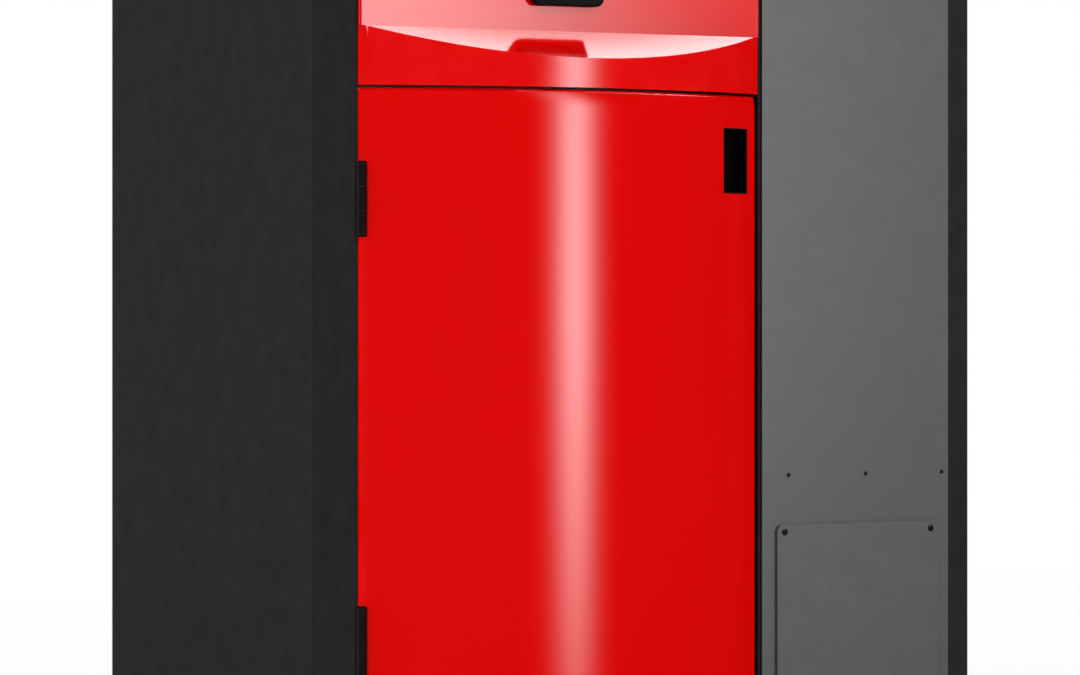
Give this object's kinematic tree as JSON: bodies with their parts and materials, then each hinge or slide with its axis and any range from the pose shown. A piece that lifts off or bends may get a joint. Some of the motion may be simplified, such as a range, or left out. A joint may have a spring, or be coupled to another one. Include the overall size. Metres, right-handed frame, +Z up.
{
  "type": "pellet boiler",
  "caption": "Pellet boiler with a curved red front door, slanted display panel and a side hopper with screw feed.",
  "frame": {"origin": "middle of the whole boiler's footprint, on the floor", "axes": "+Z up, +Y from the door to the flue outlet at the back, +X towards the hopper"},
  "size_m": [1.008, 0.9704, 1.26],
  "materials": {
    "red_paint": "gloss red powder coat",
    "anthracite_paint": "matt anthracite powder coat",
    "grey_paint": "satin dark grey powder coat",
    "black_steel": "black painted steel",
    "raw_steel": "mill finish steel plate",
    "galvanised": "galvanised sheet",
    "cast_iron": "rough cast",
    "refractory": "pressed vermiculite",
    "mineral_wool": "mineral wool",
    "rope_seal": "woven glass rope",
    "black_plastic": "fine grained black",
    "screen_glass": "smoked display glass",
    "motor_paint": "semi-matt motor housing",
    "brass": "forged brass",
    "lever_red": "dipped handle",
    "magnet_plastic": "light grey",
    "rubber_foot": "rubber pad on a steel stud",
    "zinc_steel": "zinc plated",
    "black_screw": "black oxide"
  },
  "bodies": {
    "cabinet": {"base_frames": "black_steel", "levelling_feet": "rubber_foot", "boiler_body": "raw_steel", "chamber_lining": "refractory", "heat_exchanger_tubes": "raw_steel", "cleaning_gearmotor": "motor_paint", "smoke_box_lid": "raw_steel", "insulation_jacket": "mineral_wool", "burner_pot": "cast_iron", "grate_actuator": "motor_paint", "igniter": "zinc_steel", "hinge_pins": "zinc_steel", "left_cheek": "anthracite_paint", "right_cheek": "anthracite_paint", "left_side_panel": "anthracite_paint", "right_side_panel": "anthracite_paint", "rear_panel": "galvanised", "plinth_panel": "anthracite_paint", "front_fascia": "red_paint", "display_housing": "black_plastic", "display_screen": "screen_glass", "control_box": "galvanised", "fixed_hinge_leaves": "black_steel", "door_magnets": "magnet_plastic", "flue_fan_housing": "galvanised", "flue_fan_motor": "motor_paint", "pipe_sockets": "zinc_steel", "drain_valve": "brass", "main_switch_frame": "black_plastic", "cable_gland": "black_plastic", "hopper_front_panel": "grey_paint", "hopper_right_panel": "anthracite_paint", "hopper_left_panel": "anthracite_paint", "hopper_rear_panel": "galvanised", "hopper_bin": "galvanised", "cover_plate": "grey_paint", "front_screws": "black_screw", "dosing_gearmotor": "motor_paint", "stoker_housing": "black_steel", "stoker_gearmotor": "motor_paint"},
    "front_door": {"front_door": "red_paint", "door_liner": "galvanised", "grip_cup": "black_plastic", "door_hinge_door_halves": "black_steel"},
    "fire_door": {"fire_door": "black_steel", "fire_door_insulation": "refractory", "fire_door_seal": "rope_seal"},
    "fire_door_handle": {"fire_door_handle": "zinc_steel"},
    "ash_drawer": {"ash_drawer": "galvanised"},
    "turbulator_lift": {"turbulators": "raw_steel", "turbulator_lift_frame": "zinc_steel"},
    "cleaning_pinion": {"cleaning_pinion": "zinc_steel"},
    "grate": {"tilting_grate": "cast_iron"},
    "fan_impeller": {"flue_fan_impeller": "zinc_steel"},
    "top_cover": {"top_cover": "anthracite_paint"},
    "drain_lever": {"drain_valve_lever": "lever_red"},
    "switch_rocker": {"main_switch_rocker": "lever_red"},
    "hopper_lid": {"hopper_lid": "anthracite_paint"},
    "dosing_screw": {"dosing_screw": "raw_steel"},
    "stoker_screw": {"stoker_screw": "raw_steel"}
  },
  "joints": [
    {"name": "front_door_hinge", "type": "hinge", "parent": "cabinet", "child": "front_door", "pos_m": [-0.497, -0.41315, 0.525], "axis": [0, 0, -1], "range_deg": [0, 105]},
    {"name": "fire_door_hinge", "type": "hinge", "parent": "cabinet", "child": "fire_door", "pos_m": [-0.407, -0.30215, 0.455], "axis": [0, 0, -1], "range_deg": [0, 84]},
    {"name": "fire_door_latch", "type": "hinge", "parent": "fire_door", "child": "fire_door_handle", "pos_m": [0.013, -0.32715, 0.455], "axis": [0, 1, 0], "range_deg": [0, 90]},
    {"name": "ash_drawer_slide", "type": "slide", "parent": "cabinet", "child": "ash_drawer", "axis": [0, -1, 0], "range_m": [0, 0.3]},
    {"name": "turbulator_lift_slide", "type": "slide", "parent": "cabinet", "child": "turbulator_lift", "axis": [0, 0, 1], "range_m": [0, 0.03]},
    {"name": "cleaning_pinion_turn", "type": "hinge", "parent": "cabinet", "child": "cleaning_pinion", "pos_m": [-0.179, 0.05635, 1.18284], "axis": [1, 0, 0], "range_deg": [0, 96.49]},
    {"name": "grate_tilt", "type": "hinge", "parent": "cabinet", "child": "grate", "pos_m": [-0.179, 0.00285, 0.3], "axis": [1, 0, 0], "range_deg": [0, 80]},
    {"name": "flue_fan_spin", "type": "hinge", "parent": "cabinet", "child": "fan_impeller", "pos_m": [-0.179, 0.38285, 1.072], "axis": [0, 1, 0], "continuous": true},
    {"name": "top_cover_lift", "type": "slide", "parent": "cabinet", "child": "top_cover", "axis": [0, 0, 1], "range_m": [0, 0.12]},
    {"name": "drain_lever_turn", "type": "hinge", "parent": "cabinet", "child": "drain_lever", "pos_m": [-0.009, 0.37285, 0.15], "axis": [0, 0, 1], "range_deg": [0, 90]},
    {"name": "main_switch_rock", "type": "hinge", "parent": "cabinet", "child": "switch_rocker", "pos_m": [0.021, 0.34185, 1.15], "axis": [1, 0, 0], "range_deg": [0, 10]},
    {"name": "hopper_lid_hinge", "type": "hinge", "parent": "cabinet", "child": "hopper_lid", "pos_m": [0.3265, 0.34885, 1.236], "axis": [-1, 0, 0], "range_deg": [0, 95]},
    {"name": "dosing_screw_spin", "type": "hinge", "parent": "cabinet", "child": "dosing_screw", "pos_m": [0.326, -0.14715, 0.495], "axis": [0, 1, 0], "continuous": true},
    {"name": "stoker_screw_spin", "type": "hinge", "parent": "cabinet", "child": "stoker_screw", "pos_m": [0.171, 0.00285, 0.35], "axis": [1, 0, 0], "continuous": true}
  ],
  "couplings": [
    {"joint": "fire_door_hinge", "follows": "front_door_hinge", "ratio": 0.8},
    {"joint": "ash_drawer_slide", "follows": "front_door_hinge", "m_per_rad": 0.16097},
    {"joint": "cleaning_pinion_turn", "follows": "turbulator_lift_slide", "rad_per_m": 55.556}
  ]
}
